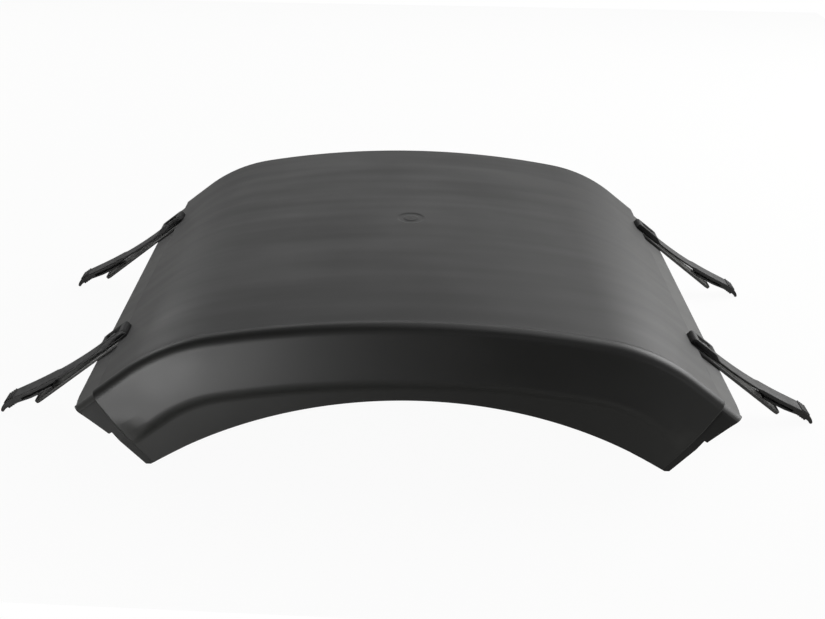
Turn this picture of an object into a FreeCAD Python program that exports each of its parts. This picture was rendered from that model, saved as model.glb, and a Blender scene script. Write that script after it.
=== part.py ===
import FreeCAD, Part
import Sketcher
import math
import os
from FreeCAD import Placement, Rotation, Vector

os.makedirs("parts", exist_ok=True)
doc = FreeCAD.newDocument("wheel_fender")

# Driving sizes, in millimetres and degrees
# The deck runs along X, the axle along Y, and lengths along the deck are measured on its outer skin.
SIZES = [
    ("crown_radius", 1370.0, "flat top of the arch"),
    ("crown_angle", 10.2, "slope where the top meets the shoulder"),
    ("shoulder_radius", 240.0, "bend of the shoulder"),
    ("side_slope", 38.0, "slope of the straight side"),
    ("side_run", 55.0, "straight side, from the shoulder to the joggle"),
    ("strip_length", 45.0, "stepped end strip that the next section laps over"),
    ("joggle", 4.6, "depth of the step down to the end strip"),
    ("lap", 9.0, "length of strip that runs on under the deck"),
    ("deck_height", 221.223, "top of the deck above the ground"),
    ("deck_width", 640.0, "from the crest of the bead to the inner face"),
    ("wall", 5.0, "moulded wall"),
    ("bead_rise", 2.5, "crest of the bead above the deck"),
    ("bead_round", 14.0, "roll of the outer edge"),
    ("crease_round", 10.0, "hollow between deck and bead"),
    ("panel_flare", 12.0, "lean of the outer panel"),
    ("panel_depth", 61.0, "deck down to the panel's lower break"),
    ("panel_step", 4.0, "panel stands proud of the flange"),
    ("step_round", 9.0, "bends of the step under the panel"),
    ("strip_flange_set", 0.8, "strip's flange behind the main flange"),
    ("flange_reach", 140.0, "depth to which the flange is swept before it is trimmed"),
    ("lip_depth", 38.0, "turned-down lip of the inner edge"),
    ("lip_round", 8.0, "bend of the inner edge"),
    ("arch_radius", 578.0, "wheel arch, lower edge of the flange"),
    ("crown_wall", 95.0, "deck to wheel arch at the middle"),
    ("foot_drop", 194.5, "deck's top to the flat feet of the flange"),
    ("end_slope", 48.7, "lean of the outer wall's end edge"),
    ("end_setback", 25.4, "outer wall stops short of the strip's end"),
    ("corner_round", 26.0, "strip's outer corner"),
    ("corner_inset", 17.0, "start of that corner, from the bead's crest"),
    ("notch_step", 4.5, "notch in the end edge"),
    ("notch_drop", 51.7, "notch below the deck, along the end edge"),
    ("gate_inset", 333.0, "gate mark from the bead's crest"),
    ("gate_outer", 19.0, "gate mark, outer radius of its ring"),
    ("gate_inner", 10.0, "gate mark, inner radius of its ring"),
    ("gate_depth", 0.8, "gate mark, depth of its ring"),
    ("strap_width", 27.0, "rubber strap across"),
    ("strap_outer_inset", 149.0, "middle of the outer straps from the bead's crest"),
    ("strap_inner_inset", 547.0, "middle of the inner straps from the bead's crest"),
    ("lug_overlap", 14.0, "lug over the deck, inside the joggle"),
    ("lug_length", 44.0, "lug along the strap"),
    ("lug_height", 9.0, "lug above the deck"),
    ("lug_round", 4.0, "rounding of the lug's inner end"),
    ("neck_run", 8.0, "fall from the lug to the blade"),
    ("blade_lift", 1.4, "blade above the tongue at the neck"),
    ("blade_thick", 3.0, "blade of the strap"),
    ("blade_radius", 640.0, "upward sweep of the blade"),
    ("blade_turn", 11.2, "angle that the sweep turns through"),
    ("body_start", 76.0, "blade along the sweep before it thickens"),
    ("body_taper", 6.0, "length over which it thickens"),
    ("body_thick", 4.5, "strap above the hook"),
    ("grip_start", 148.0, "along the strap from the neck to the grip"),
    ("body_lift", 1.0, "body's top above the blade's"),
    ("grip_length", 11.5, "ribbed grip"),
    ("grip_thick", 8.5, "ribbed grip"),
    ("grip_drop", 9.0, "grip turns down by this angle"),
    ("nose_run", 17.0, "smooth nose past the ribs, along its top"),
    ("nose_turn", 16.0, "nose curls down by this angle"),
    ("nose_thick", 4.8, "nose at its round end"),
    ("rib_first", 1.6, "first rib from the start of the grip"),
    ("rib_radius", 1.2, "grip ribs"),
    ("rib_pitch", 3.2, "grip ribs"),
    ("rib_count", 4, "grip ribs on each side"),
    ("hook_root", 136.0, "along the strap from the neck to the root of the hook"),
    ("hook_length", 47.0, "hook from root to nose"),
    ("hook_thick", 3.4, "hook"),
    ("throat", 2.4, "slot between strap and hook"),
    ("pocket_length", 28.0, "recess in the lug's top"),
    ("pocket_width", 17.0, "recess in the lug's top"),
    ("pocket_depth", 4.0, "recess in the lug's top"),
    ("tongue_width", 38.0, "plastic tongue across"),
    ("tongue_reach", 164.0, "tongue's end from the joggle"),
    ("tongue_gap", 0.4, "tongue clear of the joggle's step"),
    ("tongue_rim", 3.0, "raised rim along the tongue's edges"),
    ("tongue_dish", 0.8, "floor of the tongue below its rims"),
    ("tongue_corner", 12.0, "round corners of the tongue's end"),
    ("rivet_place", 12.0, "rivet from the joggle"),
    ("rivet_shank", 3.0, "radius of the rivet's shank"),
    ("rivet_hole_gap", 0.2, "hole larger than the shank, in radius"),
    ("rivet_head", 7.0, "radius of the rivet's head"),
    ("rivet_head_rise", 2.4, "height of the rivet's head"),
    ("rivet_tail", 5.0, "radius of the set end"),
    ("rivet_tail_rise", 2.2, "height of the set end"),
    ("washer_radius", 8.5, "washer under the strip"),
    ("washer_thick", 1.5, "washer under the strip"),
]
sheet = doc.addObject("Spreadsheet::Sheet", "sizes")
for row, (alias, number, note) in enumerate(SIZES, start=1):
    sheet.set("A%d" % row, note)
    sheet.set("B%d" % row, str(number))
    sheet.setAlias("B%d" % row, alias)
doc.recompute()


def size(alias):
    """Value of one cell of the sheet."""
    return float(sheet.get(alias))


def sin(alias):
    return math.sin(math.radians(size(alias)))


def cos(alias):
    return math.cos(math.radians(size(alias)))


# Places worked out from the driving sizes
shoulder_x = (size("crown_radius") - size("shoulder_radius")) * sin("crown_angle")
shoulder_drop = size("crown_radius") - (size("crown_radius") - size("shoulder_radius")) * cos("crown_angle")
joggle_x = shoulder_x + size("shoulder_radius") * sin("side_slope") + size("side_run") * cos("side_slope")
joggle_z = (size("deck_height") - shoulder_drop + size("shoulder_radius") * cos("side_slope")
            - size("side_run") * sin("side_slope"))
end_x = joggle_x + size("strip_length") * cos("side_slope")
end_z = joggle_z - size("strip_length") * sin("side_slope")
panel_top = size("bead_rise") - size("bead_round") * (1 - sin("panel_flare"))
panel_run = (size("panel_depth") + panel_top) / cos("panel_flare")
panel_edge = -size("bead_round") * cos("panel_flare") - panel_run * sin("panel_flare")
flange_y = panel_edge + size("panel_step")
overhang = -panel_edge + size("step_round") * (1 - cos("panel_flare"))
middle_y = (size("deck_width") - overhang) / 2


class Pen:
    """Draws a chain of tangent lines and arcs in a sketch, and keeps what it drew."""

    def __init__(self, sketch, start, heading):
        self.sketch = sketch
        self.at = Vector(start[0], start[1], 0)
        self.heading = heading
        self.drawn = []

    def direction(self):
        return Vector(math.cos(math.radians(self.heading)), math.sin(math.radians(self.heading)), 0)

    def keep(self, geometry, first, last):
        index = self.sketch.addGeometry(geometry, False)
        if self.drawn:
            before, _, end = self.drawn[-1]
            self.sketch.addConstraint(Sketcher.Constraint("Tangent", before, end, index, first))
        self.drawn.append((index, first, last))
        return index

    def line(self, length):
        """Straight run along the heading."""
        target = self.at + self.direction() * length
        index = self.keep(Part.LineSegment(self.at, target), 1, 2)
        self.at = target
        return index

    def bend(self, radius, turn):
        """Arc that turns the heading, to the left where turn is positive."""
        side = 1 if turn > 0 else -1
        ahead = self.direction()
        centre = self.at + Vector(-ahead.y, ahead.x, 0) * radius * side
        begin = math.atan2(self.at.y - centre.y, self.at.x - centre.x)
        finish = begin + math.radians(turn)
        low, high = min(begin, finish), max(begin, finish)
        circle = Part.Circle(centre, Vector(0, 0, 1), radius)
        first, last = (1, 2) if side > 0 else (2, 1)
        index = self.keep(Part.ArcOfCircle(circle, low, high), first, last)
        self.at = centre + Vector(math.cos(finish), math.sin(finish), 0) * radius
        self.heading += turn
        return index


def fix(sketch, *constraint):
    """Geometric constraint."""
    sketch.addConstraint(Sketcher.Constraint(*constraint))


def tie(sketch, expression, *constraint):
    """Dimension that follows the sheet."""
    index = sketch.addConstraint(Sketcher.Constraint(*constraint))
    sketch.setExpression("Constraints[%d]" % index, expression)


def origin_plane(body, role):
    return [part for part in body.Origin.OriginFeatures if part.Role == role][0]


def new_sketch(body, name, role, offset=None):
    """Sketch on one of the body's own planes, moved by offset within that plane's axes."""
    sketch = body.newObject("Sketcher::SketchObject", name)
    sketch.AttachmentSupport = [(origin_plane(body, role), "")]
    sketch.MapMode = "FlatFace"
    if offset:
        sketch.AttachmentOffset = offset
    return sketch


def feature(body, kind, name, sketch, **settings):
    """Feature of a sketch; a text setting is an expression."""
    made = body.newObject("PartDesign::" + kind, name)
    made.Profile = sketch
    for key, value in settings.items():
        if isinstance(value, str) and value.startswith("sizes."):
            made.setExpression(key, value)
        else:
            setattr(made, key, value)
    body.Tip = made
    return made


def both_ways(body, name, sketch):
    """Cut right through, to both sides of the sketch."""
    return feature(body, "Pocket", name, sketch, Type="ThroughAll", Midplane=True)


def polygon(sketch, points):
    """Closed outline of straight lines."""
    for place, point in enumerate(points):
        after = points[(place + 1) % len(points)]
        sketch.addGeometry(Part.LineSegment(Vector(*point, 0), Vector(*after, 0)), False)


def wall_section(sketch, stepped):
    """
    Section of the moulding in (Y, height over the deck), Y from the bead's crest.
    From the inner lip over the deck, bead and outer wall to the flange, and back along the inside.
    The stepped one is the end strip: the same line set in by the joggle, with no panel step.
    """
    inset = size("joggle") if stepped else 0.0
    wall = size("wall")
    flare = size("panel_flare")
    swell = math.degrees(math.acos(1 - size("bead_rise") / (size("crease_round") + size("bead_round"))))
    lean = 0.5 * (1 + cos("panel_flare") - size("panel_step") / size("step_round"))
    lean = math.degrees(math.acos(lean))
    far = size("deck_width") - inset
    deck_run = far - size("lip_round") - inset
    deck_run -= (size("crease_round") + size("bead_round")) * math.sin(math.radians(swell))
    strip_run = flange_y + size("strip_flange_set") - inset + size("bead_round") * cos("panel_flare")
    strip_run = -(strip_run + size("step_round") * (1 - cos("panel_flare"))) / sin("panel_flare")

    def chain(offset):
        """Whole line, set in by offset."""
        pen = Pen(sketch, (far - offset, -size("lip_depth")), 90)
        pen.line(size("lip_depth") - size("lip_round") - inset)
        pen.bend(size("lip_round") - offset, 90)
        pen.line(deck_run)
        pen.bend(size("crease_round") + offset, -swell)
        pen.bend(size("bead_round") - offset, swell + 90 - flare)
        pen.line(strip_run if stepped else panel_run)
        if stepped:
            pen.bend(size("step_round") - offset, flare)
        else:
            pen.bend(size("step_round") - offset, flare + lean)
            pen.bend(size("step_round") + offset, -lean)
        pen.line(pen.at.y + size("flange_reach"))
        return [index for index, _, _ in pen.drawn], pen

    outer, outer_pen = chain(0.0)
    lip, lip_bend, deck, crease, bead, panel, step = outer[:7]
    flange = outer[-1]
    below = -1
    fix(sketch, "Vertical", lip)
    fix(sketch, "Horizontal", deck)
    fix(sketch, "Vertical", flange)
    tie(sketch, "-90 deg - sizes.panel_flare * 1 deg", "Angle", panel, math.radians(-90 - flare))
    tie(sketch, "sizes.lip_round", "Radius", lip_bend, size("lip_round"))
    tie(sketch, "sizes.crease_round", "Radius", crease, size("crease_round"))
    tie(sketch, "sizes.bead_round", "Radius", bead, size("bead_round"))
    for bend in outer[6:-1]:
        tie(sketch, "sizes.step_round", "Radius", bend, size("step_round"))
    tie(sketch, "sizes.lip_depth", "DistanceY", lip, 1, below, 1, size("lip_depth"))
    tie(sketch, "sizes.flange_reach", "DistanceY", flange, 2, below, 1, size("flange_reach"))
    if stepped:
        tie(sketch, "sizes.deck_width - sizes.joggle", "DistanceX", below, 1, lip, 1, far)
        tie(sketch, "sizes.joggle", "DistanceY", deck, 1, below, 1, inset)
        tie(sketch, "sizes.joggle", "DistanceX", below, 1, bead, 3, inset)
        tie(sketch, "sizes.bead_round + sizes.joggle - sizes.bead_rise", "DistanceY", bead, 3, below, 1,
            size("bead_round") + inset - size("bead_rise"))
        fix(sketch, "DistanceX", flange, 1, below, 1, -flange_y - size("strip_flange_set"))
    else:
        tie(sketch, "sizes.deck_width", "DistanceX", below, 1, lip, 1, far)
        fix(sketch, "PointOnObject", deck, 1, -1)
        fix(sketch, "PointOnObject", bead, 3, -2)
        tie(sketch, "sizes.bead_round - sizes.bead_rise", "DistanceY", bead, 3, below, 1,
            size("bead_round") - size("bead_rise"))
        tie(sketch, "sizes.panel_depth", "DistanceY", panel, 2, below, 1, size("panel_depth"))
        tie(sketch, "sizes.panel_step", "DistanceX", panel, 2, flange, 1, size("panel_step"))

    inner, inner_pen = chain(wall)
    for place in range(len(outer)):
        if place in (0, len(outer) - 1):
            fix(sketch, "Vertical", inner[place])
        elif place == 2:
            fix(sketch, "Horizontal", inner[place])
        elif place == 5:
            fix(sketch, "Parallel", inner[place], panel)
        else:
            fix(sketch, "Coincident", inner[place], 3, outer[place], 3)
    tie(sketch, "sizes.wall", "Distance", inner[2], 1, deck, wall)
    low = -size("lip_depth")
    toe = sketch.addGeometry(Part.LineSegment(Vector(far, low, 0), Vector(far - wall, low, 0)), False)
    hem = sketch.addGeometry(Part.LineSegment(outer_pen.at, inner_pen.at), False)
    for edge, first, last in ((toe, lip, inner[0]), (hem, flange, inner[-1])):
        place = 1 if edge == toe else 2
        fix(sketch, "Coincident", edge, 1, first, place)
        fix(sketch, "Coincident", edge, 2, last, place)
        fix(sketch, "Horizontal", edge)


def arch_spine(sketch):
    """Half of the deck's line in (X, Z), from the crown down to the joggle."""
    pen = Pen(sketch, (0, size("deck_height")), 0)
    crown = pen.bend(size("crown_radius"), -size("crown_angle"))
    shoulder = pen.bend(size("shoulder_radius"), size("crown_angle") - size("side_slope"))
    side = pen.line(size("side_run"))
    tie(sketch, "sizes.crown_radius", "Radius", crown, size("crown_radius"))
    tie(sketch, "sizes.shoulder_radius", "Radius", shoulder, size("shoulder_radius"))
    tie(sketch, "sizes.side_run", "Distance", side, size("side_run"))
    fix(sketch, "PointOnObject", crown, 3, -2)
    fix(sketch, "PointOnObject", crown, 2, -2)
    tie(sketch, "sizes.deck_height", "DistanceY", -1, 1, crown, 2, size("deck_height"))
    tie(sketch, "-sizes.side_slope * 1 deg", "Angle", side, -math.radians(size("side_slope")))
    tie(sketch, "sizes.crown_angle * 1 deg", "Angle", crown, math.radians(size("crown_angle")))


def build_shell():
    """Arch with its bead, outer wall, inner lip and two stepped end strips, moulded in one."""
    body = doc.addObject("PartDesign::Body", "fender_shell")
    slope = Rotation(Vector(1, 0, 0), size("side_slope"))

    spine = new_sketch(body, "arch_spine", "XZ_Plane")
    arch_spine(spine)
    level = Placement(Vector(0, size("deck_height"), 0), Rotation())
    section = new_sketch(body, "wall_section", "YZ_Plane", level)
    wall_section(section, False)
    doc.recompute()
    feature(body, "AdditivePipe", "arch_sweep", section, Spine=(spine, ["Edge1", "Edge2", "Edge3"]))

    start = Vector(0, joggle_z, joggle_x) + slope.multVec(Vector(0, 0, -size("lap")))
    strip = new_sketch(body, "strip_section", "YZ_Plane", Placement(start, slope))
    wall_section(strip, True)
    pad = feature(body, "Pad", "end_strip", strip)
    pad.setExpression("Length", "sizes.strip_length + sizes.lap")
    doc.recompute()

    arch = new_sketch(body, "wheel_arch", "XZ_Plane")
    centre = size("deck_height") - size("crown_wall") - size("arch_radius")
    circle = arch.addGeometry(Part.Circle(Vector(0, centre, 0), Vector(0, 0, 1), size("arch_radius")), False)
    tie(arch, "sizes.arch_radius", "Radius", circle, size("arch_radius"))
    fix(arch, "PointOnObject", circle, 3, -2)
    tie(arch, "sizes.arch_radius + sizes.crown_wall - sizes.deck_height", "DistanceY", circle, 3, -1, 1, -centre)
    both_ways(body, "wheel_arch_cut", arch)

    foot = new_sketch(body, "foot", "XZ_Plane")
    level = size("deck_height") - size("foot_drop")
    bottom = level - size("flange_reach")
    polygon(foot, [(0, bottom), (end_x, bottom), (end_x, level), (0, level)])
    both_ways(body, "foot_cut", foot)

    lean = Rotation(Vector(0, 1, 0), 90 - size("end_slope"))
    corner = new_sketch(body, "strip_corner", "XY_Plane", Placement(Vector(end_x, 0, end_z), lean))
    bend = size("corner_round")
    sweep = math.acos(1 - size("end_setback") / bend)
    middle = Vector(-bend, size("corner_inset"), 0)
    reach = size("strip_length")
    stop = size("corner_inset") - bend * math.sin(sweep)
    edge = -overhang - bend
    circle = Part.Circle(middle, Vector(0, 0, 1), bend)
    corner.addGeometry(Part.ArcOfCircle(circle, -sweep, 0), False)
    path = [(-size("end_setback"), stop), (-size("end_setback"), edge), (reach, edge),
            (reach, size("corner_inset")), (0, size("corner_inset"))]
    for first, second in zip(path, path[1:]):
        corner.addGeometry(Part.LineSegment(Vector(*first, 0), Vector(*second, 0)), False)
    both_ways(body, "strip_corner_cut", corner)

    drop = lean.multVec(Vector(0, 0, -size("notch_drop")))
    notch = new_sketch(body, "end_notch", "XY_Plane", Placement(Vector(end_x, 0, end_z) + drop, lean))
    back = -size("end_setback") - size("notch_step")
    polygon(notch, [(back, edge), (reach, edge), (reach, 0), (back, 0)])
    feature(body, "Pocket", "end_notch_cut", notch, Type="ThroughAll")
    doc.recompute()

    seat = Vector(joggle_x, 0, joggle_z)
    tilt = Rotation(Vector(0, 1, 0), size("side_slope"))
    holes = new_sketch(body, "rivet_holes", "XY_Plane", Placement(seat, tilt))
    for alias in ("strap_outer_inset", "strap_inner_inset"):
        spot = Vector(size("rivet_place"), size(alias), 0)
        bore = size("rivet_shank") + size("rivet_hole_gap")
        ring = holes.addGeometry(Part.Circle(spot, Vector(0, 0, 1), bore), False)
        tie(holes, "sizes.rivet_shank + sizes.rivet_hole_gap", "Radius", ring, bore)
        tie(holes, "sizes.rivet_place", "DistanceX", -1, 1, ring, 3, spot.x)
        tie(holes, "sizes." + alias, "DistanceY", -1, 1, ring, 3, spot.y)
    both_ways(body, "rivet_hole_cut", holes)
    doc.recompute()

    whole = body.newObject("PartDesign::Mirrored", "other_half")
    whole.MirrorPlane = (origin_plane(body, "YZ_Plane"), [""])
    whole.TransformMode = "Whole shape"
    body.Tip = whole
    doc.recompute()

    gate = new_sketch(body, "gate_mark", "XY_Plane", Placement(Vector(0, 0, size("deck_height")), Rotation()))
    spot = Vector(0, size("gate_inset"), 0)
    for alias in ("gate_outer", "gate_inner"):
        ring = gate.addGeometry(Part.Circle(spot, Vector(0, 0, 1), size(alias)), False)
        tie(gate, "sizes." + alias, "Radius", ring, size(alias))
        fix(gate, "PointOnObject", ring, 3, -2)
        tie(gate, "sizes.gate_inset", "DistanceY", -1, 1, ring, 3, size("gate_inset"))
    feature(body, "Pocket", "gate_mark_cut", gate, Length="sizes.gate_depth")

    body.Placement = Placement(Vector(0, -middle_y, 0), Rotation())
    doc.recompute()
    return body


def build_strap(name):
    """
    Rubber strap in its own frame: X along the side from the joggle, Z up from the deck.
    Lug, thin blade that sweeps up, thick body with a barbed hook under it, and a ribbed grip.
    """
    body = doc.addObject("PartDesign::Body", name)
    side = new_sketch(body, "outline", "XZ_Plane")
    neck = Vector(size("lug_length") - size("lug_overlap") + size("neck_run"),
                  size("blade_lift") + size("blade_thick"), 0)
    radius = size("blade_radius")
    turn = math.radians(size("blade_turn"))
    hub = neck + Vector(0, radius, 0)

    def along(run, depth):
        """Point of the strap, run from the neck along its top and depth below it."""
        angle = min(run / radius, turn)
        rest = max(run - radius * turn, 0)
        across = Vector(math.sin(angle), -math.cos(angle), 0)
        return hub + across * (radius + depth) + Vector(math.cos(angle), math.sin(angle), 0) * rest

    def line(first, second):
        side.addGeometry(Part.LineSegment(first, second), False)

    def sweep(first, last, depth):
        """Arc along the strap between two runs, straight past the end of the bend."""
        bend_end = min(last, radius * turn)
        circle = Part.Circle(hub, Vector(0, 0, 1), radius + depth)
        start = -math.pi / 2
        side.addGeometry(Part.ArcOfCircle(circle, start + first / radius, start + bend_end / radius), False)
        if last > bend_end:
            line(along(bend_end, depth), along(last, depth))

    def round_end(first, middle, last):
        side.addGeometry(Part.Arc(first, middle, last), False)

    heel = -size("lug_overlap")
    toe = size("lug_length") - size("lug_overlap")
    top = size("lug_height")
    bevel = size("lug_round")
    rolled = bevel * (1 - math.sqrt(0.5))
    line(Vector(toe, 0, 0), Vector(heel, 0, 0))
    line(Vector(heel, 0, 0), Vector(heel, top - bevel, 0))
    round_end(Vector(heel, top - bevel, 0), Vector(heel + rolled, top - rolled, 0), Vector(heel + bevel, top, 0))
    line(Vector(heel + bevel, top, 0), Vector(toe - bevel, top, 0))
    line(Vector(toe - bevel, top, 0), neck)

    lift = -size("body_lift")
    thin = size("body_start")
    full = thin + size("body_taper")
    sweep(0, thin, 0)
    line(along(thin, 0), along(full, lift))
    sweep(full, size("grip_start"), lift)
    tilt = turn - math.radians(size("grip_drop"))
    ahead = Vector(math.cos(tilt), math.sin(tilt), 0)
    down = Vector(math.sin(tilt), -math.cos(tilt), 0)
    thick = size("grip_thick")
    grip = along(size("grip_start"), lift)
    knuckle = grip + ahead * size("grip_length")
    line(grip, knuckle)
    curl = math.radians(size("nose_turn"))
    pivot = knuckle + down * (size("nose_run") / curl)

    def nose_point(share, depth):
        """Point of the nose, a share of its turn from the grip and a depth below its top."""
        angle = tilt - curl * share
        return pivot - Vector(math.sin(angle), -math.cos(angle), 0) * (size("nose_run") / curl - depth)

    slim = size("nose_thick")
    front = Vector(math.cos(tilt - curl), math.sin(tilt - curl), 0) * (slim / 2)
    round_end(knuckle, nose_point(0.5, 0), nose_point(1, 0))
    round_end(nose_point(1, 0), nose_point(1, slim / 2) + front, nose_point(1, slim))
    round_end(nose_point(1, slim), nose_point(0.5, (thick + slim) / 2), nose_point(0, thick))

    under = size("body_thick")
    bar = under + size("throat")
    keel = bar + size("hook_thick")
    nose = size("hook_root") - size("hook_length")
    keel_end = radius * turn
    line(nose_point(0, thick), grip + down * thick + ahead * (thick / 2))
    line(grip + down * thick + ahead * (thick / 2), along(keel_end, keel))
    sweep(nose, keel_end, keel)
    round_end(along(nose, keel), along(nose - size("hook_thick") / 2, (bar + keel) / 2), along(nose, bar))
    sweep(nose, size("hook_root"), bar)
    root = size("hook_root")
    round_end(along(root, bar), along(root + size("throat") / 2, (under + bar) / 2), along(root, under))
    sweep(full, root, under)
    line(along(full, under), along(thin, size("blade_thick")))
    sweep(0, thin, size("blade_thick"))
    line(along(0, size("blade_thick")), Vector(toe, 0, 0))
    feature(body, "Pad", "strap", side, Midplane=True, Length="sizes.strap_width")

    ribs = new_sketch(body, "ribs", "XZ_Plane")
    for place in range(int(size("rib_count"))):
        step = ahead * (size("rib_first") + place * size("rib_pitch"))
        for spot in (grip + step, grip + step + down * thick):
            ring = ribs.addGeometry(Part.Circle(spot, Vector(0, 0, 1), size("rib_radius")), False)
            tie(ribs, "sizes.rib_radius", "Radius", ring, size("rib_radius"))
    feature(body, "Pad", "grip_ribs", ribs, Midplane=True, Length="sizes.strap_width")

    pocket = new_sketch(body, "pocket", "XY_Plane", Placement(Vector(0, 0, size("lug_height")), Rotation()))
    middle = size("lug_length") / 2 - size("lug_overlap")
    half = size("pocket_length") / 2
    wide = size("pocket_width") / 2
    polygon(pocket, [(middle - half, -wide), (middle + half, -wide), (middle + half, wide), (middle - half, wide)])
    feature(body, "Pocket", "lug_recess", pocket, Length="sizes.pocket_depth")
    rivet_hole(body)
    return body


def rivet_hole(body):
    """Hole for the rivet's shank, through whatever the body has there."""
    hole = new_sketch(body, "hole", "XY_Plane")
    ring = hole.addGeometry(Part.Circle(Vector(size("rivet_place"), 0, 0), Vector(0, 0, 1),
                                        size("rivet_shank") + size("rivet_hole_gap")), False)
    tie(hole, "sizes.rivet_shank + sizes.rivet_hole_gap", "Radius", ring,
        size("rivet_shank") + size("rivet_hole_gap"))
    fix(hole, "PointOnObject", ring, 3, -1)
    tie(hole, "sizes.rivet_place", "DistanceX", -1, 1, ring, 3, size("rivet_place"))
    both_ways(body, "rivet_hole", hole)


def build_tongue(name):
    """Plastic tongue that fills the joggle under the lug and runs on past the strip, rimmed along both edges."""
    body = doc.addObject("PartDesign::Body", name)
    plan = new_sketch(body, "plan", "XY_Plane", Placement(Vector(0, 0, -size("joggle")), Rotation()))
    start = size("tongue_gap")
    end = size("tongue_reach")
    half = size("tongue_width") / 2
    bend = size("tongue_corner")
    pen = Pen(plan, (start, -half), 0)
    pen.line(end - bend - start)
    pen.bend(bend, 90)
    pen.line(2 * (half - bend))
    pen.bend(bend, 90)
    pen.line(end - bend - start)
    plan.addGeometry(Part.LineSegment(Vector(start, half, 0), Vector(start, -half, 0)), False)
    feature(body, "Pad", "plate", plan, Length="sizes.joggle")
    dish = new_sketch(body, "dish", "XY_Plane")
    near = size("lug_length") - size("lug_overlap") + size("tongue_rim")
    edge = half - size("tongue_rim")
    polygon(dish, [(near, -edge), (end + bend, -edge), (end + bend, edge), (near, edge)])
    feature(body, "Pocket", "dished_floor", dish, Length="sizes.tongue_dish")
    rivet_hole(body)
    return body


def build_rivet(name):
    """Rivet with a domed head in the lug's recess and its end set on the washer."""
    body = doc.addObject("PartDesign::Body", name)
    half = new_sketch(body, "half", "XZ_Plane")
    seat = size("lug_height") - size("pocket_depth")
    low = -size("joggle") - size("wall") - size("washer_thick")
    axis = size("rivet_place")
    shank = axis + size("rivet_shank")
    head = axis + size("rivet_head")
    tail = axis + size("rivet_tail")
    rise = size("rivet_head_rise")
    fall = size("rivet_tail_rise")
    path = [(axis, low - fall), (tail - fall / 2, low - fall), (tail, low - fall / 2), (tail, low), (shank, low),
            (shank, seat), (head, seat), (head, seat + rise / 3), (axis + size("rivet_head") / 2, seat + rise),
            (axis, seat + rise)]
    polygon(half, path)
    half.addGeometry(Part.LineSegment(Vector(axis, low - 2 * fall, 0), Vector(axis, low - fall, 0)), True)
    feature(body, "Revolution", "turned", half, ReferenceAxis=(half, ["Axis0"]), Angle=360)
    return body


def build_washer(name):
    """Flat washer under the end strip."""
    body = doc.addObject("PartDesign::Body", name)
    flat = new_sketch(body, "flat", "XY_Plane",
                      Placement(Vector(0, 0, -size("joggle") - size("wall") - size("washer_thick")), Rotation()))
    for alias in ("washer_radius", "rivet_shank"):
        clear = size("rivet_hole_gap") if alias == "rivet_shank" else 0.0
        spot = Vector(size("rivet_place"), 0, 0)
        flat.addGeometry(Part.Circle(spot, Vector(0, 0, 1), size(alias) + clear), False)
    feature(body, "Pad", "disc", flat, Length="sizes.washer_thick")
    return body


pieces = [build_shell()]
slope = Rotation(Vector(0, 1, 0), size("side_slope"))
half_turn = Rotation(Vector(0, 0, 1), 180)
for row, alias in (("outer", "strap_outer_inset"), ("inner", "strap_inner_inset")):
    for hand, side, turned in (("left", -1, half_turn.multiply(slope)), ("right", 1, slope)):
        seat = Placement(Vector(side * joggle_x, size(alias) - middle_y, joggle_z), turned)
        for piece, build in (("strap", build_strap), ("tongue", build_tongue), ("rivet", build_rivet),
                             ("washer", build_washer)):
            made = build("%s_%s_%s" % (piece, row, hand))
            made.Placement = seat
            pieces.append(made)
doc.recompute()

for thing in doc.Objects:
    if "Invalid" in thing.State or "Error" in thing.State:
        raise RuntimeError("%s failed" % thing.Name)
for piece in pieces:
    if piece.Shape.isNull() or not piece.Shape.isValid() or len(piece.Shape.Solids) != 1:
        raise RuntimeError("%s has no valid solid" % piece.Label)
for piece in pieces:
    piece.Shape.exportStep("parts/%s.step" % piece.Label)
    box = piece.Shape.optimalBoundingBox()
    low = [round(v, 3) for v in (box.XMin, box.YMin, box.ZMin)]
    high = [round(v, 3) for v in (box.XMax, box.YMax, box.ZMax)]
    print(piece.Label, round(piece.Shape.Volume), low, high)
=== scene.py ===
import math

import bmesh
import bpy
import numpy as np
from mathutils import Matrix, Vector


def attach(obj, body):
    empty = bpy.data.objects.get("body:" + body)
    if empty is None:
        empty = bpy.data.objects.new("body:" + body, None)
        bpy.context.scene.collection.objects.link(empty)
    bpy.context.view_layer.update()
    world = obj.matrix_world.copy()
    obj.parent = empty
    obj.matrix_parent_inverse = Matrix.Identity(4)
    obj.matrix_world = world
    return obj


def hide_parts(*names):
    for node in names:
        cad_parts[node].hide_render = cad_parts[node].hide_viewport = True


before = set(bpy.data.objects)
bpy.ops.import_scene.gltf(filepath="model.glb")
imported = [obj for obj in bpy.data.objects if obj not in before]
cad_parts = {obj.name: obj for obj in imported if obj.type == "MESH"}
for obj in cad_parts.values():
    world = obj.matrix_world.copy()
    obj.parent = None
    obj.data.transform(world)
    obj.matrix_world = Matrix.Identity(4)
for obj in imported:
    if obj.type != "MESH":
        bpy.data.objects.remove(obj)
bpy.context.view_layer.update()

bl_info = {
    "name": "Wheel fender",
    "version": (1, 0, 0),
    "blender": (4, 5, 0),
    "location": "3D View > Sidebar > Fender",
    "description": "Moulded wheel fender with rubber hold-down straps, built over its CAD frame",
    "category": "Object",
}

MM = 0.001
HANDS = (("left", -1), ("right", 1))

# Slope of the straight sides. The end strips start this far along it, and their tops end this far out
# in Y, where their outer walls begin, in metres
SIDE_SLOPE = math.radians(38.0)
STRIP_PLACE = 0.2352
STRIP_WALL = -0.314


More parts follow.
